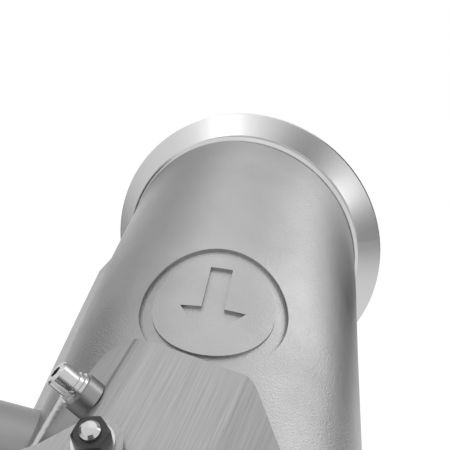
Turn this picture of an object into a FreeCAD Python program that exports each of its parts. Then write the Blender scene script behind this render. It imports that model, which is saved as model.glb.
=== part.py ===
import FreeCAD, Part
import math
import os

from FreeCAD import Placement, Vector

os.makedirs("parts", exist_ok=True)

# Turbo downpipe, in millimetres. The origin is the centre of the turbo flange's sealing face.
# +Y points into the turbo and +Z up. The pipe leaves towards -Y and leans down, in the YZ plane.

# Turbo flange, a turned V-band ring
rim_r = 60.3
rim_land = 3.2
cone_angle = 20.0
flange_depth = 12.0
register_r = 53.0
register_depth = 1.6
flange_collar = 1.6
flange_weld_depth = 1.4

# Cast inlet body
neck_r = 50.0
neck_depth = 13.0
cast_wall = 4.2
lean_start = 18.0
lean_end = 38.0
axis_crossing = 6.0
body_start_width = 50.0
body_flare = 0.054
body_side_shift = 2.2
body_height = 50.5
height_growth_start = 95.0
shoulder_length = 44.0
shoulder_lean = 0.6
oval_points = 16
cast_length = 165.0
cast_spigot = 8.0
cast_spigot_step = 1.5
rib_angle = -70.0
rib_width = 4.0
rib_height = 4.5
rib_taper = 0.85
rib_start = 16.0
rib_full = 34.0
rib_end_gap = 5.0
rib_steps = 6
badge_along = 78.0
badge_angle = 17.0
badge_r = 22.8
badge_groove = 4.0
badge_depth = 1.1
arrow_length = 28.0
arrow_head = 12.0
arrow_head_width = 20.0
arrow_shaft_width = 7.0

# Oxygen sensor bungs and the plug of the spare one
bung_r = 14.0
bung_thread_r = 8.4
bung_length = 18.0
bung_stand_out = 12.0
inlet_bung_along = 115.0
inlet_bung_angle = -58.0
plug_flat_to_flat = 22.0
plug_head = 9.0
plug_flange_r = 13.0
plug_flange = 2.0
plug_reach = 11.0
crush_washer = 1.6
crush_washer_r = 11.6

# Saddle bracket, folded from sheet and welded over the body
sheet = 2.5
bend_inner_r = 2.0
saddle_angle = 17.0
saddle_height = 4.4
saddle_skew = 13.0
saddle_length = 50.0
saddle_end_gap = 8.0
saddle_front = 29.0
saddle_right = 18.0
saddle_right_bend = 30.0
saddle_leg = 12.0
saddle_leg_bend = 50.0
saddle_left = 5.0
saddle_left_bend = 12.0
saddle_flank = 24.0
saddle_flank_bend = 36.0
saddle_left_leg = 9.0
saddle_left_leg_bend = 36.0
saddle_left_corner = 9.0
saddle_right_corner = 19.0
saddle_corner_r = 7.0
saddle_weld_r = 1.8

# Socket-head screw on the saddle's flank
screw_down = 20.0
screw_across = 5.0
screw_boss_r = 5.2
screw_boss = 4.5
screw_r = 2.0
screw_head_r = 3.5
screw_head = 5.4
screw_chamfer = 0.5
screw_socket = 3.0
screw_socket_depth = 2.6
lock_washer_r = 4.0
lock_washer = 1.3
lock_washer_gap = 1.0
flat_washer_r = 4.6
flat_washer = 1.0

# Support stay, its pivot stud and its nut
stay_down = 33.7
stay_in = 2.0
stay_width = 14.0
stay_sheet = 3.0
stay_rest_turn = 35.0
stay_flat = 11.0
stay_rise = 30.0
stay_rise_bend = 20.0
stay_end = 30.0
stay_hole_r = 4.25
stud_r = 2.5
stud_base_r = 5.0
stud_base = 1.0
stud_dome = 1.2
stud_tip = 2.2
pivot_clearance = 0.05
stay_washer_r = 5.2
stay_washer = 1.0
nut_flat_to_flat = 8.0
nut_height = 4.6
running_gap = 0.1

# Catalytic converter
can_wall = 1.5
can_length = 130.0
mat_thickness = 4.0
brick_start = 12.0
brick_end_gap = 20.0
cone_collar = 8.0
cone_length = 55.0
cone_mouth = 6.0

# Pipework of three inch tube
tube_r = 38.1
tube_wall = 1.6
bend_radius = 114.3
mid_bend = 20.0
mid_straight = 62.0
mid_bung_from_end = 38.0
outlet_lead = 26.0
outlet_tail = 70.0

# Flexible section
flex_length = 110.0
flex_cap = 16.0
flex_cap_lip = 4.0
flex_cap_wall = 1.5
braid_clearance = 0.5
braid_belly = 2.5
braid_wall = 1.4
braid_steps = 8
bellows_height = 6.5
bellows_wall = 0.5
bellows_waves = 8
liner_clearance = 0.1
liner_wall = 0.8
liner_gap = 8.0

# Outlet flange, a smaller V-band ring
outlet_rim_reach = 11.1
outlet_land = 2.6
outlet_depth = 10.0

# Hanger
hanger_rod_r = 5.0
hanger_reach = 46.0
hanger_tail = 38.0
hanger_bend_r = 12.0
hanger_from_end = 44.0
hanger_weld_run = 26.0

# Weld beads and clearances
bead = 2.6
fit = 0.05

ACROSS = Vector(1, 0, 0)


# Directions, places and shared forms

def along(tilt):
    """Direction of the pipe where it points tilt degrees below the horizontal."""
    angle = math.radians(tilt)
    return Vector(0, -math.cos(angle), -math.sin(angle))


def above(tilt):
    """Direction square to the pipe, out of its upper side."""
    angle = math.radians(tilt)
    return Vector(0, -math.sin(angle), math.cos(angle))


def turned_by(vector, axis, degrees):
    """The vector turned about an axis through the origin."""
    return FreeCAD.Rotation(axis, degrees).multVec(vector)


def place(origin, axis, across=ACROSS):
    """Placement with local Z along axis and local X as near to across as it can be."""
    z = Vector(axis).normalize()
    x = (across - z * across.dot(z)).normalize()
    y = z.cross(x)
    rows = (x.x, y.x, z.x, origin.x, x.y, y.y, z.y, origin.y, x.z, y.z, z.z, origin.z, 0, 0, 0, 1)
    return Placement(FreeCAD.Matrix(*rows))


def placed(shape, at):
    """A copy of the shape carried from the origin to a placement."""
    return shape.transformed(at.toMatrix())


def turned(profile, at):
    """Solid of revolution: profile points are (radius, distance along the placement's Z)."""
    points = [Vector(r, 0, z) for r, z in profile]
    face = Part.Face(Part.makePolygon(points + points[:1]))
    solid = face.revolve(Vector(), Vector(0, 0, 1), 360)
    if solid.Volume < 0:
        solid.reverse()
    return placed(solid, at)


def ring(r_out, r_in, low, high, at):
    """Plain tube or washer between two distances along the placement's Z."""
    return turned([(r_in, low), (r_out, low), (r_out, high), (r_in, high)], at)


def rod(r, low, high, at):
    """Plain round bar between two distances along the placement's Z."""
    return turned([(0, low), (r, low), (r, high), (0, high)], at)


def hexagon(flat_to_flat, low, high, at):
    """Hexagonal prism between two distances along the placement's Z."""
    corner = flat_to_flat / math.sqrt(3)
    points = [Vector(corner * math.cos(math.radians(60 * i)), corner * math.sin(math.radians(60 * i)), low)
              for i in range(6)]
    face = Part.Face(Part.makePolygon(points + points[:1]))
    return placed(face.extrude(Vector(0, 0, high - low)), at)


def chamfered_hexagon(flat_to_flat, low, high, at):
    """Hexagonal prism whose corners are turned down at its upper end."""
    inner = flat_to_flat / 2 * 0.96
    corner = flat_to_flat / math.sqrt(3)
    drop = (corner - inner) * 0.6
    envelope = turned([(0, low), (corner + 1, low), (corner + 1, high - drop - 0.6),
                       (inner, high), (0, high)], at)
    return hexagon(flat_to_flat, low, high, at).common(envelope)


def bend_end(point, tilt, radius, turn):
    """Where the pipe's centre line ends after a bend in the YZ plane."""
    reach = math.copysign(radius, turn)
    return point - above(tilt) * reach + above(tilt + turn) * reach


def tube_bend(point, tilt, r_out, r_in, radius, turn):
    """Bent tube that starts at point and turns in the YZ plane."""
    outer = Part.Face(Part.Wire([Part.makeCircle(r_out, point, along(tilt))]))
    inner = Part.Face(Part.Wire([Part.makeCircle(r_in, point, along(tilt))]))
    centre = point - above(tilt) * math.copysign(radius, turn)
    return outer.cut(inner).revolve(centre, ACROSS, turn)


def joined(pieces):
    """One solid from pieces that meet."""
    return pieces[0].fuse(pieces[1:]).removeSplitter()


def bead_ring(r, z, at, size=bead):
    """Round weld bead laid against a tube of radius r, centred at z."""
    half = size / 2
    steps = 6
    arc = [(r + half * math.sin(math.pi * i / steps), z - half * math.cos(math.pi * i / steps))
           for i in range(steps + 1)]
    return turned(arc, at)


def folded(line, thickness, inner_r, length):
    """Bent sheet. The line of its outer face lies in local XZ, and its length runs along -Y."""
    normals = []
    for (x0, z0), (x1, z1) in zip(line, line[1:]):
        size = math.hypot(x1 - x0, z1 - z0)
        normals.append(((z0 - z1) / size, (x1 - x0) / size))
    inner = [(line[0][0] - normals[0][0] * thickness, line[0][1] - normals[0][1] * thickness)]
    for (x, z), (ax, az), (bx, bz) in zip(line[1:-1], normals, normals[1:]):
        scale = thickness / (1 + ax * bx + az * bz)
        inner.append((x - (ax + bx) * scale, z - (az + bz) * scale))
    inner.append((line[-1][0] - normals[-1][0] * thickness, line[-1][1] - normals[-1][1] * thickness))
    points = [Vector(x, 0, z) for x, z in line + inner[::-1]]
    solid = Part.Face(Part.makePolygon(points + points[:1])).extrude(Vector(0, -length, 0))
    for outer_point, inner_point, (ax, az), (bx, bz) in zip(line[1:-1], inner[1:-1], normals, normals[1:]):
        convex = ax * bz - az * bx < 0
        outer_r = inner_r + thickness if convex else inner_r
        hidden_r = inner_r if convex else inner_r + thickness
        for (x, z), r in ((outer_point, outer_r), (inner_point, hidden_r)):
            edges = [e for e in solid.Edges if on_line(e, x, z)]
            solid = solid.makeFillet(r, edges)
    return solid


def on_line(edge, x, z):
    """True if the edge runs along local Y through x and z."""
    ends = [v.Point for v in edge.Vertexes]
    return len(ends) == 2 and all(math.hypot(p.x - x, p.z - z) < 1e-4 for p in ends)


def save(name, shape):
    """Write one piece to its own file."""
    shape.exportStep("parts/" + name + ".step")


# Centre line of the pipe, and the casting's oval sections

axis_start = Vector(0, -axis_crossing, 0)
axis_turn = lean_end - lean_start
axis_radius = cast_length / math.radians(axis_turn)
end_r = body_start_width + body_flare * cast_length
saddle_along = cast_length - cast_spigot - saddle_end_gap - saddle_length
brick_length = can_length - cast_spigot - brick_start - brick_end_gap
neck_top = register_depth + flange_weld_depth
rib_end = cast_length - cast_spigot - rib_end_gap


def tilt_at(length):
    """How far the casting's centre line points below the horizontal at a distance along it."""
    return lean_start + axis_turn * length / cast_length


def axis_point(length):
    """Point on the casting's gently curved centre line."""
    return bend_end(axis_start, lean_start, axis_radius, tilt_at(length) - lean_start)


def side_shift(length):
    """How far the casting's middle stands to the right of the centre line, nothing at its ends."""
    return body_side_shift * math.sin(math.pi * length / cast_length)


def half_width(length):
    """Outer half width of the casting, which flares all the way."""
    return body_start_width + body_flare * length - side_shift(length)


def half_height(length):
    """Outer half height: constant under the badge, then growing until the end is round."""
    share = max(0, length - height_growth_start) / (cast_length - height_growth_start)
    return body_height + (end_r - body_height) * share * share * (3 - 2 * share)


def radial(angle, tilt):
    """Direction out of the pipe, angle degrees round from its upper side towards +X."""
    turn = math.radians(angle)
    return above(tilt) * math.cos(turn) + ACROSS * math.sin(turn)


def surface_point(length, angle):
    """Point on the casting's outer surface."""
    turn = math.radians(angle)
    height = above(tilt_at(length)) * (half_height(length) * math.cos(turn))
    across = side_shift(length) + half_width(length) * math.sin(turn)
    return axis_point(length) + height + ACROSS * across


def surface_place(length, angle):
    """Placement on the casting: Z out of the surface, X across, Y back up the pipe."""
    back = surface_point(length - 1, angle) - surface_point(length + 1, angle)
    side = surface_point(length, angle + 1) - surface_point(length, angle - 1)
    return place(surface_point(length, angle), side.cross(back), side)


face_place = place(Vector(), Vector(0, -1, 0))
bellows_crest_r = tube_r + bellows_height
braid_end_r = bellows_crest_r + braid_clearance + braid_wall
liner_r = tube_r - tube_wall - liner_clearance
outlet_rim_r = tube_r + outlet_rim_reach
cast_end = axis_point(cast_length)
can_place = place(cast_end - along(lean_end) * cast_spigot, along(lean_end))
can_inner_r = end_r - cast_spigot_step + fit
can_outer_r = can_inner_r + can_wall
cone_start = cast_end + along(lean_end) * (can_length - cast_spigot - cone_collar)
cone_end = cone_start + along(lean_end) * (cone_collar + cone_length)
mid_tilt = lean_end + mid_bend
mid_bend_end = bend_end(cone_end, lean_end, bend_radius, mid_bend)
mid_end = mid_bend_end + along(mid_tilt) * mid_straight
flex_start = mid_end - along(mid_tilt) * flex_cap
flex_end = flex_start + along(mid_tilt) * flex_length
flex_centre = (flex_start + flex_end) * 0.5
outlet_start = flex_end - along(mid_tilt) * flex_cap
outlet_bend_start = outlet_start + along(mid_tilt) * outlet_lead
outlet_bend_end = bend_end(outlet_bend_start, mid_tilt, bend_radius, -mid_tilt)
outlet_end = outlet_bend_end + along(0) * outlet_tail
mid_place = place(mid_end, along(mid_tilt))
flex_place = place(flex_start, along(mid_tilt))
outlet_place = place(outlet_end, along(0))


# Inlet: flange and cast body

def turbo_flange():
    """V-band ring: sealing face, rim land, conical clamp face, collar over the casting's neck."""
    neck = neck_r + fit
    cone_foot = rim_land + (rim_r - neck - flange_collar) * math.tan(math.radians(cone_angle))
    profile = [(neck, register_depth), (register_r, register_depth), (register_r, 0), (rim_r - 0.8, 0),
               (rim_r, 0.8), (rim_r, rim_land), (neck + flange_collar, cone_foot),
               (neck + flange_collar, flange_depth - 1.0), (neck + 0.4, flange_depth), (neck, flange_depth)]
    return turned(profile, face_place)


def flange_weld():
    """Weld over the neck's end, ground flush with the floor of the flange's register."""
    inner = neck_r - cast_wall
    return turned([(inner + flange_weld_depth, register_depth), (neck_r, register_depth), (neck_r, neck_top),
                   (inner, neck_top)], face_place)


def section(centre, tilt, width, height):
    """Oval section of the casting, with its seam on the underside."""
    at = place(centre, along(tilt), above(tilt) * -1)
    points = []
    for i in range(oval_points):
        turn = 2 * math.pi * i / oval_points
        points.append(at.multVec(Vector(height * math.cos(turn), width * math.sin(turn), 0)))
    oval = Part.BSplineCurve()
    oval.interpolate(points, PeriodicFlag=True)
    return Part.Wire([oval.toShape()])


def body_section(length, tilt, offset):
    """Section of the casting at a distance along its centre line, moved out by offset."""
    centre = axis_point(length) + ACROSS * side_shift(length)
    return section(centre, tilt, half_width(length) + offset, half_height(length) + offset)


def body_form(offset):
    """Leaning, flaring form of the casting, with its surface moved out by offset."""
    neck_end = Vector(0, -neck_depth, 0)
    sections = [section(neck_end, 0, neck_r + offset, neck_r + offset)]
    half = shoulder_length / 2
    sections.append(body_section(half, tilt_at(half) * shoulder_lean, offset))
    for i in range(5):
        length = shoulder_length + (cast_length - shoulder_length) * i / 4
        sections.append(body_section(length, tilt_at(length), offset))
    return Part.makeLoft(sections, True, False)


def neck(offset, top):
    """Short straight neck that the flange ring slides on, reaching up to a depth of top."""
    r = neck_r + offset
    foot = section(Vector(0, -neck_depth, 0), 0, r, r)
    return Part.Face(foot).extrude(Vector(0, neck_depth - top, 0))


def rib_section(length, height):
    """Upright section of the parting rib at a distance along the casting."""
    half = rib_width / 2
    at = surface_place(length, rib_angle)
    corners = [(-half, -rib_height), (half, -rib_height), (half * rib_taper, height), (-half * rib_taper, height)]
    points = [at.multVec(Vector(x, 0, z)) for x, z in corners]
    return Part.makePolygon(points + points[:1])


def parting_rib():
    """Flat rib along the casting's left flank, where its mould halves met."""
    sections = [rib_section(rib_start, 0)]
    for i in range(rib_steps + 1):
        length = rib_full + (rib_end - rib_full) * i / rib_steps
        sections.append(rib_section(length, rib_height))
    return Part.makeLoft(sections, True, True)


def flow_arrow():
    """Plain arrow that points down the pipe, in the badge's own plane."""
    tip = -arrow_length / 2
    neck_y = tip + arrow_head
    tail = arrow_length / 2
    head = arrow_head_width / 2
    shaft = arrow_shaft_width / 2
    outline = [(0, tip), (head, neck_y), (shaft, neck_y), (shaft, tail), (-shaft, tail),
               (-shaft, neck_y), (-head, neck_y)]
    points = [Vector(x, y, -badge_r / 2) for x, y in outline]
    return Part.Face(Part.makePolygon(points + points[:1])).extrude(Vector(0, 0, badge_r))


def badge_cut(outer, floor):
    """Shallow round channel and flow arrow sunk in the casting's upper side."""
    at = surface_place(badge_along, badge_angle)
    channel = ring(badge_r, badge_r - badge_groove, -badge_r / 2, badge_r / 2, at)
    tools = channel.fuse(placed(flow_arrow(), at))
    return tools.common(outer).cut(floor)


def cast_inlet_body(outer, bung_hole):
    """Thin cast shell: neck, bend, flaring barrel, parting rib, round badge recess, rear spigot."""
    shell = joined([outer, neck(0, neck_top)])
    shell = shell.fuse(parting_rib())
    bore = body_form(-cast_wall).fuse(neck(-cast_wall, 0))
    shell = shell.cut(bore)
    shell = shell.cut(badge_cut(outer, body_form(-badge_depth)))
    skin = end_r + rib_height + 5
    step = ring(skin, can_inner_r - fit, 0, cast_spigot + 1, can_place)
    return shell.cut(step).cut(bung_hole)


def bung_place(length, angle):
    """Placement of the inlet bung: Z out of the pipe."""
    out = radial(angle, tilt_at(length))
    return place(surface_point(length, angle) + out * bung_stand_out, out)


def oxygen_bung(at):
    """Turned bung with a threaded bore and a chamfered mouth."""
    profile = [(bung_thread_r, -bung_length), (bung_r, -bung_length), (bung_r, -1.0), (bung_r - 1.0, 0),
               (bung_thread_r + 1.2, 0), (bung_thread_r, -1.2)]
    return turned(profile, at)


# Saddle bracket and its fasteners

def saddle_place():
    """Placement of the saddle's upper edge, at the middle of its front face."""
    base = surface_place(saddle_along, saddle_angle)
    out = base.Rotation.multVec(Vector(0, 0, 1))
    side = turned_by(base.Rotation.multVec(ACROSS), out, -saddle_skew)
    return place(base.Base + out * saddle_height, out, side)


def fold_step(point, heading, length):
    """Next corner of the fold line, heading degrees below the front face."""
    angle = math.radians(heading)
    side = -1 if heading < 0 else 1
    return point[0] + side * length * math.cos(angle), point[1] - length * abs(math.sin(angle))


def saddle_line():
    """Corners of the saddle's outer face, from its left leg to its right leg."""
    left_crease = (-saddle_front / 2, 0)
    valley = fold_step(left_crease, -saddle_left_bend, saddle_left)
    left_edge = fold_step(valley, -saddle_left_bend - saddle_flank_bend, saddle_flank)
    left_leg = fold_step(left_edge, -saddle_left_bend - saddle_flank_bend - saddle_left_leg_bend, saddle_left_leg)
    right_crease = (saddle_front / 2, 0)
    right_edge = fold_step(right_crease, saddle_right_bend, saddle_right)
    right_leg = fold_step(right_edge, saddle_right_bend + saddle_leg_bend, saddle_leg)
    return [left_leg, left_edge, valley, left_crease, right_crease, right_edge, right_leg]


def saddle_outline():
    """Plan of the saddle with its four corners clipped and rounded, as a tall prism."""
    left = saddle_line()[0][0] - 2
    right = saddle_line()[-1][0] + 2
    near = saddle_left_corner
    far = saddle_right_corner
    corners = [(left, -near), (left + near, 0), (right - far, 0), (right, -far),
               (right, far - saddle_length), (right - far, -saddle_length),
               (left + near, -saddle_length), (left, near - saddle_length)]
    points = [Vector(x, y, -saddle_length) for x, y in corners]
    prism = Part.Face(Part.makePolygon(points + points[:1])).extrude(Vector(0, 0, 2 * saddle_length))
    upright = [e for e in prism.Edges if abs(e.Vertexes[0].Z - e.Vertexes[-1].Z) > 1]
    return prism.makeFillet(saddle_corner_r, upright)


def saddle_bracket(casting):
    """Folded saddle, trimmed to sit on the casting, with holes for its screw and stud."""
    blank = folded(saddle_line(), sheet, bend_inner_r, saddle_length).common(saddle_outline())
    plate = placed(blank, saddle_place()).cut(casting)
    largest = max(plate.Solids, key=lambda s: s.Volume)
    hole = rod(screw_r + fit, -2 * sheet, 2 * sheet, flank_place())
    return largest.cut(hole)


def foot_on(casting, x, y):
    """Point on the casting straight below a point of the saddle's plan."""
    at = saddle_place()
    high = at.multVec(Vector(x, y, saddle_length))
    low = at.multVec(Vector(x, y, -saddle_length))
    crossing = Part.makeLine(high, low).common(casting)
    return min((v.Point for v in crossing.Vertexes), key=lambda point: (point - high).Length)


def saddle_weld(casting, plate):
    """Weld beads along the saddle's two long edges, where they meet the casting."""
    line = saddle_line()
    beads = []
    for (x, z), clip in ((line[0], saddle_left_corner), (line[-1], saddle_right_corner)):
        start = foot_on(casting, x, -clip)
        run = foot_on(casting, x, clip - saddle_length) - start
        bead = Part.makeCylinder(saddle_weld_r, run.Length, start, run)
        beads.append(max(bead.cut(casting).cut(plate).Solids, key=lambda s: s.Volume))
    return Part.makeCompound(beads)


def flank_place():
    """Placement of the screw on the saddle's left flank: Z out of the flank."""
    valley = saddle_line()[2]
    bend = math.radians(saddle_left_bend + saddle_flank_bend)
    x = valley[0] - screw_across * math.cos(bend)
    z = valley[1] - screw_across * math.sin(bend)
    at = saddle_place()
    origin = at.multVec(Vector(x, -screw_down, z))
    out = at.Rotation.multVec(Vector(-math.sin(bend), 0, math.cos(bend)))
    return place(origin, out, at.Rotation.multVec(Vector(0, -1, 0)))


def screw_boss_piece():
    """Round threaded boss welded on the flank."""
    return ring(screw_boss_r, screw_r + fit, 0, screw_boss, flank_place())


def flat_washer_piece():
    """Plain washer on the boss."""
    return ring(flat_washer_r, screw_r + fit, screw_boss, screw_boss + flat_washer, flank_place())


def lock_washer_piece():
    """Split spring washer under the screw's head."""
    at = flank_place()
    low = screw_boss + flat_washer
    whole = ring(lock_washer_r, screw_r + fit, low, low + lock_washer, at)
    slit = Part.makeBox(lock_washer_gap, 2 * lock_washer_r, 3 * lock_washer, Vector(-lock_washer_gap / 2, 0, -lock_washer))
    slit.rotate(Vector(), Vector(0, 1, 0), 25)
    slit.translate(Vector(0, 0, low + lock_washer / 2))
    slit.rotate(Vector(), Vector(0, 0, 1), -40)
    return whole.cut(placed(slit, at))


def clamp_screw():
    """Socket-head cap screw: chamfered head with a hexagonal socket."""
    at = flank_place()
    low = screw_boss + flat_washer + lock_washer
    top = low + screw_head
    profile = [(0, -sheet), (screw_r, -sheet), (screw_r, low), (screw_head_r, low),
               (screw_head_r, top - screw_chamfer), (screw_head_r - screw_chamfer, top), (0, top)]
    return turned(profile, at).cut(hexagon(screw_socket, top - screw_socket_depth, top + 1, at))


def pivot_place():
    """Placement of the stay's pivot on the saddle: Z out of the front face."""
    at = saddle_place()
    origin = at.multVec(Vector(stay_in - saddle_front / 2, -stay_down, 0))
    return place(origin, at.Rotation.multVec(Vector(0, 0, 1)), at.Rotation.multVec(Vector(0, -1, 0)))


stay_low = stud_base + running_gap
stay_high = stay_low + stay_sheet
nut_low = stay_high + running_gap + stay_washer


def stay_stud():
    """Weld stud with a broad foot and a domed tip."""
    tip = nut_low + nut_height + stud_tip
    profile = [(0, 0), (stud_base_r, 0), (stud_base_r, stud_base), (stud_r, stud_base), (stud_r, tip - stud_dome),
               (stud_r * 0.72, tip - stud_dome * 0.3), (0, tip)]
    return turned(profile, pivot_place())


def stay_washer_piece():
    """Washer between the stay and the nut."""
    return ring(stay_washer_r, stud_r + fit, nut_low - stay_washer, nut_low, pivot_place())


def stay_nut():
    """Lock nut that keeps the stay on its stud."""
    at = pivot_place()
    body = chamfered_hexagon(nut_flat_to_flat, nut_low, nut_low + nut_height, at)
    return body.cut(rod(stud_r + fit, 0, nut_low + 2 * nut_height, at))


def stay_place():
    """Placement of the stay: X along it, away from its pivot."""
    at = pivot_place()
    reach = turned_by(at.Rotation.multVec(ACROSS), at.Rotation.multVec(Vector(0, 0, 1)), -stay_rest_turn)
    return place(at.Base, at.Rotation.multVec(Vector(0, 0, 1)), reach)


def stay_line():
    """Corners of the stay's upper face, from its pivot end to its free end."""
    rise = math.radians(stay_rise_bend)
    start = -stay_width / 2
    knee = stay_flat
    shoulder_x = knee + stay_rise * math.cos(rise)
    shoulder_z = stay_high + stay_rise * math.sin(rise)
    return [(start, stay_high), (knee, stay_high), (shoulder_x, shoulder_z),
            (shoulder_x + stay_end, shoulder_z)]


def stay_hole_at():
    """Centre of the stay's free hole, in the stay's own placement."""
    line = stay_line()
    return Vector(line[-1][0] - stay_width / 2, 0, line[-1][1])


def support_stay():
    """Flat stay with a rounded end at each hole and a joggle between them."""
    line = stay_line()
    band = folded(line, stay_sheet, bend_inner_r, stay_width)
    band.translate(Vector(0, stay_width / 2, 0))
    end = stay_hole_at()
    depth = Vector(0, 0, line[-1][1] + stay_width)
    slot = Part.Wire([Part.makeLine(Vector(0, stay_width / 2, 0), Vector(end.x, stay_width / 2, 0)),
                      Part.Arc(Vector(end.x, stay_width / 2, 0), Vector(end.x + stay_width / 2, 0, 0),
                               Vector(end.x, -stay_width / 2, 0)).toShape(),
                      Part.makeLine(Vector(end.x, -stay_width / 2, 0), Vector(0, -stay_width / 2, 0)),
                      Part.Arc(Vector(0, -stay_width / 2, 0), Vector(-stay_width / 2, 0, 0),
                               Vector(0, stay_width / 2, 0)).toShape()])
    band = band.common(Part.Face(slot).extrude(depth))
    pivot_hole = Part.makeCylinder(stud_r + pivot_clearance, depth.z)
    end_hole = Part.makeCylinder(stay_hole_r, depth.z, Vector(end.x, 0, 0))
    return placed(band.cut(pivot_hole).cut(end_hole), stay_place())


# Catalytic converter

def catalyst_can():
    """Rolled sheet can that slides over the casting's spigot."""
    return ring(can_outer_r, can_inner_r, 0, can_length, can_place)


def catalyst_mat():
    """Ceramic fibre mat packed between the can and the brick."""
    low = cast_spigot + brick_start
    return ring(can_inner_r, can_inner_r - mat_thickness, low, low + brick_length, can_place)


def catalyst_brick():
    """Round honeycomb brick."""
    low = cast_spigot + brick_start
    return rod(can_inner_r - mat_thickness, low, low + brick_length, can_place)


def outlet_cone():
    """Spun cone: collar inside the can, taper, short mouth of tube size."""
    collar_r = can_inner_r - fit
    length = cone_collar + cone_length
    outer = [(collar_r, 0), (collar_r, cone_collar), (tube_r, length - cone_mouth), (tube_r, length)]
    inner = [(r - can_wall, z) for r, z in outer]
    return turned(outer + inner[::-1], place(cone_start, along(lean_end)))


def can_weld_front():
    """Weld laid over the flush seam between the casting and the can."""
    return bead_ring(can_outer_r, 0, can_place)


def can_weld_rear():
    """Bead in the corner between the can's end and the cone's taper."""
    foot = can_inner_r - fit
    slope = (foot - tube_r) / (cone_length - cone_mouth)
    return turned([(foot, can_length), (can_outer_r, can_length), (foot + bead * 0.25, can_length + bead * 0.75),
                   (foot - slope * bead, can_length + bead)], can_place)


# Pipework

def mid_tube():
    """Bent tube from the cone to the flexible section."""
    inner = tube_r - tube_wall
    bent = tube_bend(cone_end, lean_end, tube_r, inner, bend_radius, mid_bend)
    straight = ring(tube_r, inner, -mid_straight, 0, mid_place)
    return joined([bent, straight])


def mid_weld():
    """Butt weld between the cone and the bent tube."""
    return bead_ring(tube_r, 0, place(cone_end, along(lean_end)))


def mid_bung_place():
    """Placement of the spare bung on top of the middle tube: Z out of the pipe."""
    foot = mid_end - along(mid_tilt) * mid_bung_from_end
    return place(foot + above(mid_tilt) * (tube_r + bung_stand_out), above(mid_tilt))


def spare_plug():
    """Hexagon-headed plug of the spare bung."""
    at = mid_bung_place()
    low = crush_washer
    stem = [(0, -plug_reach), (bung_thread_r - fit, -plug_reach), (bung_thread_r - fit, low),
            (plug_flange_r, low), (plug_flange_r, low + plug_flange), (0, low + plug_flange)]
    head = chamfered_hexagon(plug_flat_to_flat, low + plug_flange, low + plug_flange + plug_head, at)
    return joined([turned(stem, at), head])


def plug_washer():
    """Soft washer under the plug."""
    return ring(crush_washer_r, bung_thread_r, 0, crush_washer, mid_bung_place())


def flex_cap_ring(at):
    """Pressed cap: sleeve round the tube, flared out over the end of the braid."""
    wall = flex_cap_wall
    sleeve = tube_r + fit
    lip = braid_end_r + fit
    end = flex_cap + flex_cap_lip
    outer = [(sleeve, 0), (sleeve + wall, 0), (sleeve + wall, flex_cap * 0.3), (lip + wall, flex_cap * 0.55),
             (lip + wall, end)]
    inner = [(lip, end), (lip, flex_cap * 0.62), (sleeve, flex_cap * 0.36)]
    return turned(outer + inner, at)


def bellows():
    """Thin corrugated tube that seals the joint."""
    root_r = tube_r + fit + bellows_wall
    low = flex_cap * 0.75
    high = flex_length - low
    pitch = (high - low) / bellows_waves
    outer = [(root_r, low)]
    for i in range(bellows_waves):
        z = low + i * pitch
        outer += [(root_r, z + pitch * 0.16), (bellows_crest_r, z + pitch * 0.34),
                  (bellows_crest_r, z + pitch * 0.66), (root_r, z + pitch * 0.84)]
    outer.append((root_r, high))
    inner = [(r - bellows_wall, z) for r, z in outer]
    return turned(outer + inner[::-1], flex_place)


def flex_liner():
    """Inner sleeve that keeps the gas off the bellows."""
    return ring(liner_r, liner_r - liner_wall, flex_cap + fit, flex_length - flex_cap - liner_gap, flex_place)


def braid():
    """Woven outer sleeve, slightly barrelled, clamped under both caps."""
    end = flex_cap * 0.62
    low = flex_cap + flex_cap_lip
    high = flex_length - low
    outer = [(braid_end_r, end)]
    for i in range(braid_steps + 1):
        share = i / braid_steps
        r = braid_end_r + braid_belly * math.sin(math.pi * share)
        outer.append((r, low + (high - low) * share))
    outer.append((braid_end_r, flex_length - end))
    inner = [(r - braid_wall, z) for r, z in outer]
    return turned(outer + inner[::-1], flex_place)


def outlet_tube():
    """Bent tube from the flexible section to the outlet flange."""
    inner = tube_r - tube_wall
    lead = ring(tube_r, inner, 0, outlet_lead, place(outlet_start, along(mid_tilt)))
    bent = tube_bend(outlet_bend_start, mid_tilt, tube_r, inner, bend_radius, -mid_tilt)
    tail = ring(tube_r, inner, -outlet_tail, 0, outlet_place)
    return joined([lead, bent, tail])


def outlet_flange():
    """Smaller V-band ring over the end of the outlet tube."""
    neck_out = tube_r + fit + 3.0
    cone_foot = outlet_land + (outlet_rim_r - neck_out) * math.tan(math.radians(cone_angle))
    profile = [(tube_r + fit, 0), (outlet_rim_r - 0.6, 0), (outlet_rim_r, -0.6), (outlet_rim_r, -outlet_land),
               (neck_out, -cone_foot), (neck_out, -outlet_depth), (tube_r + fit, -outlet_depth)]
    return turned(profile, outlet_place)


def outlet_weld():
    """Bead between the outlet flange's collar and the tube."""
    return bead_ring(tube_r, -outlet_depth - bead / 2, outlet_place)


def hanger_rod():
    """Round rod welded along the outlet tube and bent out sideways."""
    foot = outlet_end - along(0) * hanger_from_end
    start = foot + ACROSS * (tube_r + hanger_rod_r) + along(0) * hanger_weld_run
    corner = foot + ACROSS * (tube_r + hanger_rod_r)
    knee = corner + ACROSS * hanger_reach
    tip = knee - along(0) * hanger_tail
    back = along(0) * hanger_bend_r
    side = ACROSS * hanger_bend_r
    share = 1 - math.sqrt(0.5)
    first = Part.Arc(corner + back, corner + back * share + side * share, corner + side).toShape()
    second = Part.Arc(knee - side, knee - side * share - back * share, knee - back).toShape()
    path = Part.Wire([Part.makeLine(start, corner + back), first, Part.makeLine(corner + side, knee - side),
                      second, Part.makeLine(knee - back, tip)])
    profile = Part.Wire([Part.makeCircle(hanger_rod_r, start, along(0))])
    return path.makePipeShell([profile], True, False)


# Build and save every piece

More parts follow.
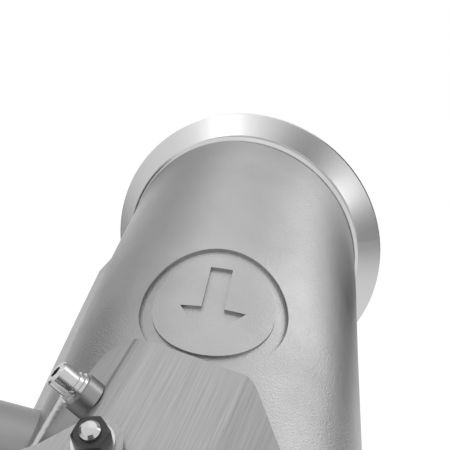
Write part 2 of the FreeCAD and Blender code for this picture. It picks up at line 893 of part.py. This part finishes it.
outer_form = body_form(0)
casting_solid = joined([outer_form, neck(0, neck_top)])
inlet_bung_at = bung_place(inlet_bung_along, inlet_bung_angle)
mid_bung_at = mid_bung_place()
bung_hole = rod(bung_r + fit, -2 * bung_length, bung_length, inlet_bung_at)
mid_hole = rod(bung_r + fit, -2 * bung_length, bung_length, mid_bung_at)
with_rib = casting_solid.fuse(parting_rib())
saddle = saddle_bracket(with_rib)

save("turbo_flange", turbo_flange())
save("flange_weld", flange_weld())
save("cast_inlet_body", cast_inlet_body(outer_form, bung_hole))
save("inlet_sensor_bung", oxygen_bung(inlet_bung_at))
save("saddle_bracket", saddle)
save("saddle_welds", saddle_weld(with_rib, saddle))
save("screw_boss", screw_boss_piece())
save("screw_flat_washer", flat_washer_piece())
save("screw_lock_washer", lock_washer_piece())
save("socket_screw", clamp_screw())
save("stay_stud", stay_stud())
save("support_stay", support_stay())
save("stay_washer", stay_washer_piece())
save("stay_nut", stay_nut())
save("catalyst_can", catalyst_can())
save("catalyst_mat", catalyst_mat())
save("catalyst_brick", catalyst_brick())
save("can_weld_front", can_weld_front())
save("can_weld_rear", can_weld_rear())
save("outlet_cone", outlet_cone())
save("mid_tube", mid_tube().cut(mid_hole))
save("mid_weld", mid_weld())
save("spare_sensor_bung", oxygen_bung(mid_bung_at))
save("spare_plug", spare_plug())
save("plug_washer", plug_washer())
save("flex_inlet_cap", flex_cap_ring(flex_place))
save("flex_bellows", bellows())
save("flex_liner", flex_liner())
save("flex_braid", braid())
save("flex_outlet_cap", flex_cap_ring(place(flex_end, along(mid_tilt) * -1)))
save("outlet_tube", outlet_tube())
save("outlet_flange", outlet_flange())
save("outlet_weld", outlet_weld())
save("hanger_rod", hanger_rod())
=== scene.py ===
import math

import bpy
from mathutils import Matrix, Vector


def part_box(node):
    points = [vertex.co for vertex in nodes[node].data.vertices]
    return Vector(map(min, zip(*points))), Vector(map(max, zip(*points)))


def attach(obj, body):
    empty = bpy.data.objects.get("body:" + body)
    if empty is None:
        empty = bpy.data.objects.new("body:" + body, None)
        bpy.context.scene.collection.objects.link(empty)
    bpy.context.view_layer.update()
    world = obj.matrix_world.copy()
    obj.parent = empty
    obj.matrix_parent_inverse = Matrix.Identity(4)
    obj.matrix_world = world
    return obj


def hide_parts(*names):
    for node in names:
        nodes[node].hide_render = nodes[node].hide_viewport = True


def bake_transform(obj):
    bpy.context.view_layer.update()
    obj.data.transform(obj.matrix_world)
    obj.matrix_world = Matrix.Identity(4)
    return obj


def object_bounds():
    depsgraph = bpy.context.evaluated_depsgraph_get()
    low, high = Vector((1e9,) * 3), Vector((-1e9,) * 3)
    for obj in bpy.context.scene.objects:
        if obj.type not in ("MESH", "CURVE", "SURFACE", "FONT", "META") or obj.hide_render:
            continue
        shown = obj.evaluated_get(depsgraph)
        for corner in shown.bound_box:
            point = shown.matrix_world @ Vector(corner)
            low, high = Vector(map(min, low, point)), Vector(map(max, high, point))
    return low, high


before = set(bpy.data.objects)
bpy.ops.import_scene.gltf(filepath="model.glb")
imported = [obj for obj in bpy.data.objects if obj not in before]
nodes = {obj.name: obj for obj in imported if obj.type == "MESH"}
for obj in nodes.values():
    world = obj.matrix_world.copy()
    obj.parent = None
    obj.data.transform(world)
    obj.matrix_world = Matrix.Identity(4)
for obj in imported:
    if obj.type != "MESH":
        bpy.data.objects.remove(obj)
cad_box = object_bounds()

# Camera at the photograph's viewing angle, as fitted to the flange's rim and the body's outlines. It stands
# close above the barrel and looks along it towards the turbo ring.
CAMERA_AT = Vector((0.0797, -0.2704, 0.0796))
CAMERA_RIGHT = Vector((0.9511, 0.2694, -0.1512))
CAMERA_DOWN = Vector((-0.0764, -0.2690, -0.9601))
CAMERA_LENS_MM = 51.2
SENSOR_MM = 36.0
CLIP_START = 0.005

scene = bpy.context.scene
scene.view_settings.view_transform = "Standard"
camera_data = bpy.data.cameras.new("camera")
camera_data.lens = CAMERA_LENS_MM
camera_data.sensor_width = SENSOR_MM
camera_data.clip_start = CLIP_START
camera = bpy.data.objects.new("camera", camera_data)
scene.collection.objects.link(camera)
right = CAMERA_RIGHT.normalized()
forward = right.cross(CAMERA_DOWN).normalized()
up = right.cross(forward)
camera.matrix_world = Matrix((
    (right.x, up.x, -forward.x, CAMERA_AT.x),
    (right.y, up.y, -forward.y, CAMERA_AT.y),
    (right.z, up.z, -forward.z, CAMERA_AT.z),
    (0.0, 0.0, 0.0, 1.0)))
scene.camera = camera

# White surroundings for the camera and for reflections, an even light for the rest, and a pale floor
# that keeps a soft shadow.
WORLD_LIGHT = 0.62
WORLD_WHITE = 1.0
FLOOR_GAP = 0.0015
FLOOR_HALF = 4.0
FLOOR_GREY = 0.80
FLOOR_GLOW = 0.80
FLOOR_SHADED = 0.34


def seen_rays(tree):
    """A value that is 1 for rays by which the background itself is seen."""
    path = tree.nodes.new("ShaderNodeLightPath")
    found = path.outputs["Is Camera Ray"]
    for name in ("Is Glossy Ray", "Is Transmission Ray"):
        larger = tree.nodes.new("ShaderNodeMath")
        larger.operation = "MAXIMUM"
        tree.links.new(found, larger.inputs[0])
        tree.links.new(path.outputs[name], larger.inputs[1])
        found = larger.outputs[0]
    return found


def grey(value):
    """Opaque neutral grey."""
    return (value, value, value, 1.0)


def split_by_ray(tree, plain, seen, target):
    """Joins two shaders, the second one for the rays by which the background is seen."""
    mix = tree.nodes.new("ShaderNodeMixShader")
    tree.links.new(seen_rays(tree), mix.inputs[0])
    tree.links.new(plain.outputs[0], mix.inputs[1])
    tree.links.new(seen.outputs[0], mix.inputs[2])
    tree.links.new(mix.outputs[0], target.inputs["Surface"])


def flat_shader(tree, kind, value):
    """Background, emission or diffuse shader of one grey."""
    shader = tree.nodes.new(kind)
    shader.inputs["Color"].default_value = grey(value)
    return shader


world = bpy.data.worlds.new("studio")
scene.world = world
world.use_nodes = True
tree = world.node_tree
tree.nodes.clear()
split_by_ray(tree, flat_shader(tree, "ShaderNodeBackground", WORLD_LIGHT),
             flat_shader(tree, "ShaderNodeBackground", WORLD_WHITE), tree.nodes.new("ShaderNodeOutputWorld"))

floor_z = cad_box[0][2] - FLOOR_GAP
floor_mesh = bpy.data.meshes.new("floor")
corners = [(-FLOOR_HALF, -FLOOR_HALF, floor_z), (FLOOR_HALF, -FLOOR_HALF, floor_z),
           (FLOOR_HALF, FLOOR_HALF, floor_z), (-FLOOR_HALF, FLOOR_HALF, floor_z)]
floor_mesh.from_pydata(corners, [], [(0, 1, 2, 3)])
floor = bpy.data.objects.new("floor", floor_mesh)
scene.collection.objects.link(floor)
floor_material = bpy.data.materials.new("floor")
floor_material.use_nodes = True
tree = floor_material.node_tree
tree.nodes.clear()
pale = tree.nodes.new("ShaderNodeAddShader")
tree.links.new(flat_shader(tree, "ShaderNodeEmission", FLOOR_GLOW).outputs[0], pale.inputs[0])
tree.links.new(flat_shader(tree, "ShaderNodeBsdfDiffuse", FLOOR_SHADED).outputs[0], pale.inputs[1])
split_by_ray(tree, flat_shader(tree, "ShaderNodeBsdfDiffuse", FLOOR_GREY), pale,
             tree.nodes.new("ShaderNodeOutputMaterial"))
floor_mesh.materials.append(floor_material)


# Soft studio light and grey cards, which the metal mirrors as its light and dark bands. The turned ring and
# the barrel mirror different directions, so each has its own lamps and cards.
STUDIO_MIDDLE = Vector((0.0, -0.08, 0.0))
STUDIO_REACH = 1.2


def aimed(obj, direction):
    """Puts a lamp or card in a direction from the object, facing it."""
    scene.collection.objects.link(obj)
    out = Vector(direction).normalized()
    obj.location = STUDIO_MIDDLE + out * STUDIO_REACH
    obj.rotation_euler = (-out).to_track_quat("-Z", "Y").to_euler()
    obj.visible_camera = False


def panel(name, direction, width, height, radiance):
    """Rectangular area light of that brightness per area."""
    data = bpy.data.lights.new(name, "AREA")
    data.shape = "RECTANGLE"
    data.size = width
    data.size_y = height
    data.energy = radiance * math.pi * width * height
    aimed(bpy.data.objects.new(name, data), direction)


def card(name, direction, width, height, value):
    """Flat card of one grey that only reflections see."""
    mesh = bpy.data.meshes.new(name)
    x = width / 2
    y = height / 2
    mesh.from_pydata([(-x, -y, 0), (x, -y, 0), (x, y, 0), (-x, y, 0)], [], [(0, 1, 2, 3)])
    material = bpy.data.materials.new(name)
    material.use_nodes = True
    card_tree = material.node_tree
    card_tree.nodes.clear()
    output = card_tree.nodes.new("ShaderNodeOutputMaterial")
    glow = flat_shader(card_tree, "ShaderNodeEmission", value)
    card_tree.links.new(glow.outputs[0], output.inputs["Surface"])
    mesh.materials.append(material)
    obj = bpy.data.objects.new(name, mesh)
    aimed(obj, direction)
    obj.visible_diffuse = False
    obj.visible_shadow = False


PANELS = (
    ("panel_top", (0.05, 0.10, 0.98), 0.8, 0.9, 0.30),
    ("panel_right", (0.77, 0.54, 0.35), 0.30, 1.00, 2.2),
    ("panel_ring_top", (-0.29, -0.79, 0.54), 0.12, 0.44, 4.2),
    ("panel_ring_right", (0.51, -0.855, 0.05), 0.10, 0.22, 5.0),
)
for settings in PANELS:
    panel(*settings)
CARDS = (
    ("card_ring_dark", (0.42, -0.86, -0.28), 1.1, 0.55, 0.04),
    ("card_ring_mid", (0.28, -0.89, 0.37), 0.36, 0.44, 0.08),
    ("card_behind", (0.45, 0.85, -0.27), 1.7, 1.20, 0.04),
    ("card_left", (-0.95, 0.05, 0.20), 1.2, 1.2, 0.16),
    ("card_upper_left", (-0.50, 0.62, 0.60), 0.70, 0.60, 0.42),
)
for settings in CARDS:
    card(*settings)


# Metals. Every pattern hangs on the object's own coordinates, in metres. A noise runs from about 0.3 to 0.7,
# and is carried onto the range of greys or roughness that the real surface has.
NOISE_LOW = 0.3
NOISE_HIGH = 0.7


def new_metal(name, value, roughness, metallic=1.0):
    """Material with a principled shader, and the parts that its pattern is built from."""
    material = bpy.data.materials.new(name)
    material.use_nodes = True
    shader = material.node_tree.nodes["Principled BSDF"]
    shader.inputs["Base Color"].default_value = grey(value)
    shader.inputs["Metallic"].default_value = metallic
    shader.inputs["Roughness"].default_value = roughness
    return material, material.node_tree, shader


def object_point(tree, stretch=(1.0, 1.0, 1.0), turn=(0.0, 0.0, 0.0)):
    """The shaded point in the axes of a turned piece, shortened by stretch along each of them."""
    point = tree.nodes.new("ShaderNodeTexCoord")
    mapping = tree.nodes.new("ShaderNodeMapping")
    mapping.vector_type = "TEXTURE"
    mapping.inputs["Rotation"].default_value = turn
    mapping.inputs["Scale"].default_value = stretch
    tree.links.new(point.outputs["Object"], mapping.inputs["Vector"])
    return mapping.outputs["Vector"]


def noise(tree, point, scale, detail=2.0):
    """Noise value at a point."""
    texture = tree.nodes.new("ShaderNodeTexNoise")
    texture.inputs["Scale"].default_value = scale
    texture.inputs["Detail"].default_value = detail
    tree.links.new(point, texture.inputs["Vector"])
    return texture.outputs["Fac"]


def ranged(tree, value, low, high):
    """A noise value carried onto another range."""
    span = tree.nodes.new("ShaderNodeMapRange")
    span.inputs["From Min"].default_value = NOISE_LOW
    span.inputs["From Max"].default_value = NOISE_HIGH
    span.inputs["To Min"].default_value = low
    span.inputs["To Max"].default_value = high
    tree.links.new(value, span.inputs["Value"])
    return span.outputs["Result"]


def grey_from(tree, value, shader):
    """The shader's colour as a neutral grey of that value."""
    colour = tree.nodes.new("ShaderNodeCombineColor")
    for channel in ("Red", "Green", "Blue"):
        tree.links.new(value, colour.inputs[channel])
    tree.links.new(colour.outputs["Color"], shader.inputs["Base Color"])


def bumped(tree, value, shader, depth, strength=1.0):
    """Fine relief of that depth in metres."""
    bump = tree.nodes.new("ShaderNodeBump")
    bump.inputs["Distance"].default_value = depth
    bump.inputs["Strength"].default_value = strength
    tree.links.new(value, bump.inputs["Height"])
    tree.links.new(bump.outputs["Normal"], shader.inputs["Normal"])


def round_tangent(tree, shader, axis, centre):
    """Lets the shader's streaks run round an axis, as on turned metal."""
    point = tree.nodes.new("ShaderNodeTexCoord")
    offset = tree.nodes.new("ShaderNodeVectorMath")
    offset.operation = "SUBTRACT"
    offset.inputs[1].default_value = centre
    cross = tree.nodes.new("ShaderNodeVectorMath")
    cross.operation = "CROSS_PRODUCT"
    cross.inputs[1].default_value = axis
    tree.links.new(point.outputs["Object"], offset.inputs[0])
    tree.links.new(offset.outputs["Vector"], cross.inputs[0])
    tree.links.new(cross.outputs["Vector"], shader.inputs["Tangent"])


def dress(names, material):
    """Gives carried-over nodes one material."""
    for name in names:
        mesh = nodes[name].data
        mesh.materials.clear()
        mesh.materials.append(material)


# Cast inlet body: one stainless casting from the round neck to the oval barrel, bead blasted to an even satin
# grey with a very fine grain. The turbo ring and the can are welded to its ends.
CAST_GRAIN = 1800.0
CAST_GRAIN_DEPTH = 0.00022
CLOUD_DETAIL = 4.0
cast, tree, shader = new_metal("cast_stainless", 0.48, 0.42)
grain = noise(tree, object_point(tree), CAST_GRAIN)
cloud = noise(tree, object_point(tree), 45.0, CLOUD_DETAIL)
grey_from(tree, ranged(tree, cloud, 0.41, 0.46), shader)
tree.links.new(ranged(tree, cloud, 0.46, 0.38), shader.inputs["Roughness"])
bumped(tree, grain, shader, CAST_GRAIN_DEPTH, 0.6)
dress(["cast_inlet_body"], cast)

# V-band rings, bungs and the screw's boss: turned from stainless bar. Only the rings get fine lathe lines
# round their axes. They are welded to the casting, the tubes and the saddle.
LATHE_STREAKS = 0.75


def turned_metal(name, axis, centre, value=0.60, roughness=0.24):
    """Turned metal whose reflections stretch across its lathe lines."""
    material, tree, shader = new_metal(name, value, roughness)
    shader.inputs["Anisotropic"].default_value = LATHE_STREAKS
    round_tangent(tree, shader, axis, centre)
    return material


RING_AXIS = (0.0, 1.0, 0.0)
dress(["turbo_flange"], turned_metal("turned_inlet", RING_AXIS, (0.0, 0.0, 0.0)))
outlet_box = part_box("outlet_flange")
outlet_middle = tuple((a + b) / 2 for a, b in zip(*outlet_box))
dress(["outlet_flange"], turned_metal("turned_outlet", RING_AXIS, outlet_middle))
# The bungs and the screw's boss get a much darker grey than the turned rings, though they are the same turned
# stainless: painted shade.
dress(["inlet_sensor_bung", "spare_sensor_bung", "screw_boss"], new_metal("turned_small_shaded", 0.29, 0.36)[0])

# Saddle bracket and stay: cut and folded from stainless sheet that was brushed along the pipe. The saddle is
# welded over the barrel, and the stay swings on a stud that is welded to it.
SADDLE_AXES = Matrix(((0.9379, 0.2068, 0.2787), (-0.0625, 0.8906, -0.4505), (-0.3414, 0.4050, 0.8482)))
BRUSH_STRETCH = (1.0, 45.0, 1.0)
BRUSH_SCALE = 2200.0
BRUSH_DEPTH = 0.00003


def brushed_metal(name, turn):
    """Sheet with fine straight lines along its own Y axis."""
    material, tree, shader = new_metal(name, 0.42, 0.34)
    lines = noise(tree, object_point(tree, BRUSH_STRETCH, turn), BRUSH_SCALE)
    grey_from(tree, ranged(tree, lines, 0.31, 0.39), shader)
    bumped(tree, lines, shader, BRUSH_DEPTH, 0.35)
    return material


dress(["saddle_bracket", "support_stay"], brushed_metal("brushed_sheet", SADDLE_AXES.to_euler()))

# Fasteners: bright plated steel for the socket screw and its washers, the stud and its washer and the spare
# bung's plug, and a blackened lock nut. They are screwed together, apart from the stud, which is welded.
dress(["screw_flat_washer", "screw_lock_washer", "socket_screw", "stay_stud", "stay_washer", "spare_plug"],
      new_metal("fastener_steel", 0.55, 0.22)[0])
dress(["stay_nut"], new_metal("dark_fastener", 0.06, 0.38)[0])

# Plain welds: stainless beads along the saddle's edges and over the neck's end inside the turbo ring, left as
# laid, a little duller than the tube.
WELD_RIPPLE = 700.0
WELD_RIPPLE_DEPTH = 0.0003
weld, tree, shader = new_metal("weld_metal", 0.52, 0.34)
ripple = noise(tree, object_point(tree), WELD_RIPPLE)
bumped(tree, ripple, shader, WELD_RIPPLE_DEPTH, 0.5)
dress(["flange_weld", "saddle_welds"], weld)

# Round welds at both ends of the can, before the middle tube and behind the outlet ring: stainless weld
# metal, laid round the joint as one overlapping drop after another.
BEAD = 0.0026
DROP_STEP = 0.55
CAN_OUTER = 0.05896
CAN_END_INSET = 0.0006
TUBE_OUTER = 0.0381
LEAN_AXIS = (0.0, -0.788, -0.6157)
OUTLET_AXIS = (0.0, -1.0, 0.0)


def new_group(name, inputs):
    """Geometry Nodes group, the node that holds its named inputs and the one that takes the result."""
    group = bpy.data.node_groups.new(name, "GeometryNodeTree")
    group.interface.new_socket("Geometry", in_out="OUTPUT", socket_type="NodeSocketGeometry")
    for socket_name, kind in inputs:
        group.interface.new_socket(socket_name, in_out="INPUT", socket_type=kind)
    return group, group.nodes.new("NodeGroupInput"), group.nodes.new("NodeGroupOutput")


def step(group, kind, links=(), values=(), **settings):
    """Node of a kind, with its settings, the sockets that feed it and its plain values."""
    node = group.nodes.new(kind)
    for key, value in settings.items():
        setattr(node, key, value)
    for target, source in links:
        group.links.new(source, node.inputs[target])
    for target, value in values:
        node.inputs[target].default_value = value
    return node


def sum_of(group, operation, a, b):
    """One sum of two sockets or numbers."""
    node = group.nodes.new("ShaderNodeMath")
    node.operation = operation
    for index, source in enumerate((a, b)):
        if isinstance(source, (int, float)):
            node.inputs[index].default_value = source
        else:
            group.links.new(source, node.inputs[index])
    return node.outputs[0]


def finished(group, out, geometry, material):
    """Ends a group with real geometry in one material."""
    real = step(group, "GeometryNodeRealizeInstances", [(0, geometry)])
    dressed = step(group, "GeometryNodeSetMaterial", [(0, real.outputs[0])], [("Material", material)])
    group.links.new(dressed.outputs[0], out.inputs[0])


def grown(name, group, values, turn, at):
    """Runs a group with these inputs and returns the result as a plain mesh, put in its place."""
    seed = bpy.data.meshes.new(name + "_seed")
    holder = bpy.data.objects.new(name + "_seed", seed)
    scene.collection.objects.link(holder)
    modifier = holder.modifiers.new("grow", "NODES")
    modifier.node_group = group
    for item in group.interface.items_tree:
        if item.in_out == "INPUT":
            modifier[item.identifier] = values[item.name]
    bpy.context.view_layer.update()
    graph = bpy.context.evaluated_depsgraph_get()
    mesh = bpy.data.meshes.new_from_object(holder.evaluated_get(graph))
    bpy.data.objects.remove(holder)
    mesh.transform(Matrix.Translation(at) @ turn.to_4x4())
    piece = bpy.data.objects.new(name, mesh)
    scene.collection.objects.link(piece)
    return piece


bead_group, given, out = new_group("ripple_bead", [
    ("Radius", "NodeSocketFloat"), ("Drops", "NodeSocketInt"), ("Drop Radius", "NodeSocketFloat")])
circle = step(bead_group, "GeometryNodeMeshCircle",
              [("Vertices", given.outputs["Drops"]), ("Radius", given.outputs["Radius"])])
drop = step(bead_group, "GeometryNodeMeshIcoSphere",
            [("Radius", given.outputs["Drop Radius"])], [("Subdivisions", 2)])
laid = step(bead_group, "GeometryNodeInstanceOnPoints",
            [("Points", circle.outputs["Mesh"]), ("Instance", drop.outputs["Mesh"])])
finished(bead_group, out, laid.outputs["Instances"], weld)


def weld_ring(node, radius, at, axis):
    """Rippled weld in place of the plain ring of a node."""
    turn = Vector(axis).to_track_quat("Z", "Y").to_matrix()
    drops = round(2 * math.pi * radius / (BEAD * DROP_STEP))
    values = {"Radius": radius, "Drops": drops, "Drop Radius": BEAD / 2}
    ring = grown("rippled_" + node, bead_group, values, turn, Vector(at))
    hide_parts(node)
    return ring


WELD_RINGS = (
    ("can_weld_front", "downpipe", CAN_OUTER, (0.0, -0.14464, -0.07214), LEAN_AXIS),
    ("can_weld_rear", "downpipe", CAN_OUTER - CAN_END_INSET, (0.0, -0.24780, -0.15274), LEAN_AXIS),
    ("mid_weld", "downpipe", TUBE_OUTER, (0.0, -0.29043, -0.18604), LEAN_AXIS),
    ("outlet_weld", "outlet", TUBE_OUTER, (0.0, -0.56059, -0.41005), OUTLET_AXIS),
)
for node, body, radius, at, axis in WELD_RINGS:
    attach(weld_ring(node, radius, at, axis), body)

# Can, cone, tubes, caps, inner sleeve and hanger rod: rolled, spun, pressed and bent from stainless tube and
# bar, satin and faintly clouded, and welded end to end.
tube, tree, shader = new_metal("tube_stainless", 0.60, 0.28)
cloud = noise(tree, object_point(tree), 30.0, CLOUD_DETAIL)
grey_from(tree, ranged(tree, cloud, 0.45, 0.52), shader)
tree.links.new(ranged(tree, cloud, 0.32, 0.25), shader.inputs["Roughness"])
dress(["catalyst_can", "outlet_cone", "mid_tube", "outlet_tube", "flex_inlet_cap", "flex_outlet_cap",
       "hanger_rod", "flex_liner"], tube)

# Catalyst mat: pale ceramic fibre, wrapped round the brick and pressed into the can.
FIBRE_SCALE = 900.0
FIBRE_DEPTH = 0.0005
mat, tree, shader = new_metal("fibre_mat", 0.72, 0.9, 0.0)
bumped(tree, noise(tree, object_point(tree), FIBRE_SCALE), shader, FIBRE_DEPTH)
dress(["catalyst_mat"], mat)

# Catalyst brick: extruded ceramic with fine square cells along the gas way, held by the mat.
CELL = 0.0016
CELL_WALL = 0.0003
CELL_SHADE = 0.06
CERAMIC = 0.60
CAN_AXES = Matrix(((1.0, 0.0, 0.0), (0.0, -0.6157, -0.788), (0.0, 0.788, -0.6157)))
brick, tree, shader = new_metal("ceramic_brick", 0.55, 0.85, 0.0)
cells = tree.nodes.new("ShaderNodeTexBrick")
cells.offset = 0.0
cells.inputs["Scale"].default_value = 1.0
cells.inputs["Brick Width"].default_value = CELL
cells.inputs["Row Height"].default_value = CELL
cells.inputs["Mortar Size"].default_value = CELL_WALL
cells.inputs["Mortar Smooth"].default_value = 0.0
# The cells' openings are painted near-black as the shade down their open channels; the walls between them
# keep the ceramic's grey.
for socket in ("Color1", "Color2"):
    cells.inputs[socket].default_value = grey(CELL_SHADE)
cells.inputs["Mortar"].default_value = grey(CERAMIC)
tree.links.new(object_point(tree, turn=CAN_AXES.to_euler()), cells.inputs["Vector"])
tree.links.new(cells.outputs["Color"], shader.inputs["Base Color"])
dress(["catalyst_brick"], brick)

# Plug washer: soft metal ring that seals the spare bung's plug.
dress(["plug_washer"], new_metal("soft_washer", 0.50, 0.35)[0])

# Bellows of the flexible section: thin stainless tube formed into round waves, pressed on both tubes' ends.
# It lies under the braid.
FLEX_AT = Vector((0.0, -0.34136, -0.25455))
FLEX_AXIS = Vector((0.0, -0.5299, -0.8480))
FLEX_LENGTH = 0.110
BELLOWS_START = 0.012
BELLOWS_ROOT = 0.03865
BELLOWS_CREST = 0.0446
BELLOWS_WALL = 0.0005
BELLOWS_WAVES = 8
WAVE_STEPS = 10
ROUND_STEPS = 72


def bent_with_joint(piece):
    """Bakes a piece's placement into its mesh."""
    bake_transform(piece)


def revolved(name, outline, at, turn):
    """Closed ring from an outline of radii and heights."""
    mesh = bpy.data.meshes.new(name)
    points = []
    for i in range(ROUND_STEPS):
        angle = 2 * math.pi * i / ROUND_STEPS
        points += [(r * math.cos(angle), r * math.sin(angle), z) for r, z in outline]
    count = len(outline)
    faces = []
    for i in range(ROUND_STEPS):
        here = i * count
        there = (i + 1) % ROUND_STEPS * count
        for j in range(count):
            k = (j + 1) % count
            faces.append((here + j, there + j, there + k, here + k))
    mesh.from_pydata(points, [], faces)
    mesh.transform(Matrix.Translation(at) @ turn.to_4x4())
    mesh.polygons.foreach_set("use_smooth", [True] * len(faces))
    piece = bpy.data.objects.new(name, mesh)
    scene.collection.objects.link(piece)
    return piece


flex_turn = FLEX_AXIS.to_track_quat("Z", "Y").to_matrix()
bellows_run = FLEX_LENGTH - 2 * BELLOWS_START
bellows_steps = BELLOWS_WAVES * WAVE_STEPS
wave_line = []
for i in range(bellows_steps + 1):
    lift = 0.5 - 0.5 * math.cos(2 * math.pi * i / WAVE_STEPS)
    radius = BELLOWS_ROOT + (BELLOWS_CREST - BELLOWS_ROOT) * lift
    wave_line.append((radius, BELLOWS_START + bellows_run * i / bellows_steps))
inner_line = [(r - BELLOWS_WALL, z) for r, z in reversed(wave_line)]
bellows = revolved("formed_bellows", wave_line + inner_line, FLEX_AT, flex_turn)
bellows.data.materials.append(tube)
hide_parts("flex_bellows")
bent_with_joint(bellows)

# Wire braid of the flexible section: flat bundles of stainless wire, woven over and under each other and
# clamped under both caps.
BRAID_END = 0.0105
BRAID_WIRES = 8
WIRE_RELIEF = 0.0002
BRAID_SIZES = {
    "Strands": 36, "Length": FLEX_LENGTH - 2 * BRAID_END, "Twist": 1.6, "End Radius": 0.0458, "Belly": 0.0024,
    "Weave": 0.00038, "Bundle Width": 0.0046, "Bundle Thickness": 0.00045, "Steps": 90,
}
wire, tree, shader = new_metal("wire_braid", 0.62, 0.30)
across = tree.nodes.new("ShaderNodeAttribute")
across.attribute_name = "across"
wave = sum_of(tree, "SINE", sum_of(tree, "MULTIPLY", across.outputs["Fac"], BRAID_WIRES * math.pi), 0.0)
bumped(tree, sum_of(tree, "ABSOLUTE", wave, 0.0), shader, WIRE_RELIEF)

braid_group, given, out = new_group("woven_sleeve", [
    ("Strands", "NodeSocketInt"), ("Length", "NodeSocketFloat"), ("Twist", "NodeSocketFloat"),
    ("End Radius", "NodeSocketFloat"), ("Belly", "NodeSocketFloat"), ("Weave", "NodeSocketFloat"),
    ("Bundle Width", "NodeSocketFloat"), ("Bundle Thickness", "NodeSocketFloat"), ("Steps", "NodeSocketInt")])


def braid_sum(operation, a, b=0.0):
    """One sum in the braid's group, where an input goes by its name."""
    sources = [given.outputs[source] if isinstance(source, str) else source for source in (a, b)]
    return sum_of(braid_group, operation, *sources)


def braid_product(a, b):
    """Product of two sockets, numbers or inputs in the braid's group."""
    return braid_sum("MULTIPLY", a, b)


blank = step(braid_group, "GeometryNodeMeshCube", [("Vertices X", given.outputs["Steps"])],
             [("Size", (1.0, 1.0, 1.0)), ("Vertices Y", 3), ("Vertices Z", 2)])
spot_in_blank = step(braid_group, "GeometryNodeInputPosition")
corner = step(braid_group, "ShaderNodeSeparateXYZ", [(0, spot_in_blank.outputs[0])])
share = braid_sum("ADD", corner.outputs["X"], 0.5)
marked = step(braid_group, "GeometryNodeStoreNamedAttribute",
              [("Geometry", blank.outputs["Mesh"]), ("Value", braid_sum("ADD", corner.outputs["Y"], 0.5))],
              [("Name", "across")], data_type="FLOAT", domain="POINT")
steep = braid_sum("ARCTAN2", braid_product("Twist", "End Radius"), "Length")
aside = braid_product(braid_product(corner.outputs["Y"], -1.0), "Bundle Width")
belly = braid_product("Belly", braid_sum("SINE", braid_product(share, math.pi)))
middle = braid_sum("ADD", "End Radius", belly)
turned_by = braid_product("Twist", share)
weave = braid_product("Weave", braid_sum("COSINE", braid_product(turned_by, "Strands")))
thick = braid_product(corner.outputs["Z"], "Bundle Thickness")
round_by = braid_sum("DIVIDE", braid_product(aside, braid_sum("COSINE", steep)), middle)
along_by = braid_product(aside, braid_sum("SINE", steep))
order = step(braid_group, "GeometryNodeInputIndex")
share_of_turn = braid_sum("DIVIDE", braid_product(order.outputs[0], 2 * math.pi), "Strands")
spin = step(braid_group, "ShaderNodeCombineXYZ", [("Z", share_of_turn)])
families = step(braid_group, "GeometryNodeJoinGeometry")
for way in (1, -1):
    radius = braid_sum("ADD", middle, braid_sum("ADD", thick, braid_product(weave, way)))
    angle = braid_sum("ADD", braid_product(turned_by, way), round_by)
    height = braid_sum("SUBTRACT", braid_product("Length", share), braid_product(along_by, way))
    spot = step(braid_group, "ShaderNodeCombineXYZ", [
        ("X", braid_product(radius, braid_sum("COSINE", angle))),
        ("Y", braid_product(radius, braid_sum("SINE", angle))), ("Z", height)])
    bundle = step(braid_group, "GeometryNodeSetPosition",
                  [("Geometry", marked.outputs[0]), ("Position", spot.outputs[0])])
    starts = step(braid_group, "GeometryNodeMeshLine",
                  [("Count", given.outputs["Strands"])], [("Offset", (0.0, 0.0, 0.0))])
    laid = step(braid_group, "GeometryNodeInstanceOnPoints", [
        ("Points", starts.outputs["Mesh"]), ("Instance", bundle.outputs[0]), ("Rotation", spin.outputs[0])])
    braid_group.links.new(laid.outputs["Instances"], families.inputs[0])
finished(braid_group, out, families.outputs[0], wire)

braid = grown("woven_braid", braid_group, BRAID_SIZES, flex_turn, FLEX_AT + FLEX_AXIS * BRAID_END)
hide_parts("flex_braid")
bent_with_joint(braid)
